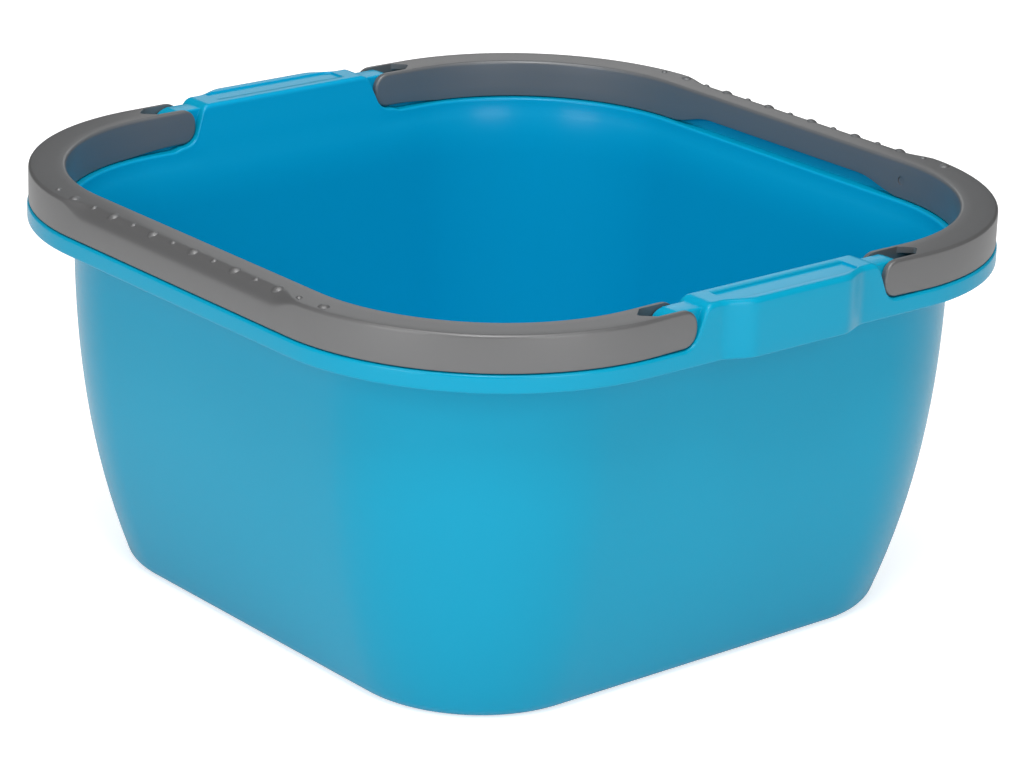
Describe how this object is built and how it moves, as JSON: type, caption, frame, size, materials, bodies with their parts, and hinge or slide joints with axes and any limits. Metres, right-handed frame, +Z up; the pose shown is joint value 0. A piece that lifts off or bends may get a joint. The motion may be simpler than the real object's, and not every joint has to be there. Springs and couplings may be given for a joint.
{
  "type": "washing up bowl",
  "caption": "Square washing up bowl with rounded corners, bowed tapering walls and two bail handles that fold down round the rim.",
  "frame": {"origin": "middle of the base, on the surface that the bowl stands on", "axes": "+Z up out of the bowl, +Y towards one of the two saddles between the handles' pivots, +X towards the right handle's grip"},
  "size_m": [0.36, 0.3706, 0.184],
  "materials": {
    "basin": "satin, moulded polypropylene",
    "handles": "satin, moulded polypropylene"
  },
  "bodies": {
    "bowl": {"bowl": "basin"},
    "left_handle": {"left_handle": "handles"},
    "right_handle": {"right_handle": "handles"}
  },
  "joints": [
    {"name": "left_handle_hinge", "type": "hinge", "parent": "bowl", "child": "left_handle", "pos_m": [-0.06, 0, 0.1751], "axis": [0, 1, 0], "range_deg": [0, 114]},
    {"name": "right_handle_hinge", "type": "hinge", "parent": "bowl", "child": "right_handle", "pos_m": [0.06, 0, 0.1751], "axis": [0, -1, 0], "range_deg": [0, 114]}
  ]
}
